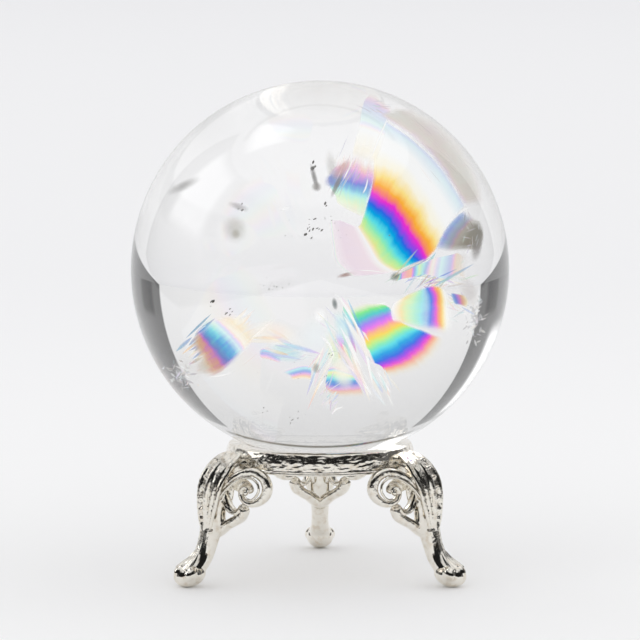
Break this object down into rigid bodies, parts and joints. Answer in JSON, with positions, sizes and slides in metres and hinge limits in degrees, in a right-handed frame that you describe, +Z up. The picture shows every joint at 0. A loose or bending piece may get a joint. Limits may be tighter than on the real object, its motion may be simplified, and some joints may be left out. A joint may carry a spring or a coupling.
{
  "type": "crystal ball on stand",
  "caption": "Polished clear quartz ball with rainbow fracture veils inside, resting loose in the seat ring of a low plated stand with scrolled legs and paw feet.",
  "frame": {"origin": "on the table under the ball's centre, midway between the feet", "axes": "+Z up along the stand's axis; -Y towards the front, between two legs; +Y towards the rear leg; +X to the right seen from the front"},
  "size_m": [0.06, 0.06, 0.0788],
  "materials": {
    "quartz": "polished natural clear quartz with rainbow fracture veils, fine streaks and specks inside",
    "plated_casting": "bright nickel-silver plating over a cast zinc alloy, mirror smooth on the scrolls and grained on the ring and leaves",
    "screw_steel": "plain bright steel"
  },
  "bodies": {
    "stand": {"seat_ring": "plated_casting", "leg_rear": "plated_casting", "leg_front_left": "plated_casting", "leg_front_right": "plated_casting", "leg_screw_rear": "screw_steel", "leg_screw_front_left": "screw_steel", "leg_screw_front_right": "screw_steel"},
    "ball": {"crystal_ball": "quartz"}
  },
  "joints": [
    {"name": "ball_lift", "type": "slide", "parent": "stand", "child": "ball", "axis": [0, 0, 1], "range_m": [0, 0.04]}
  ]
}
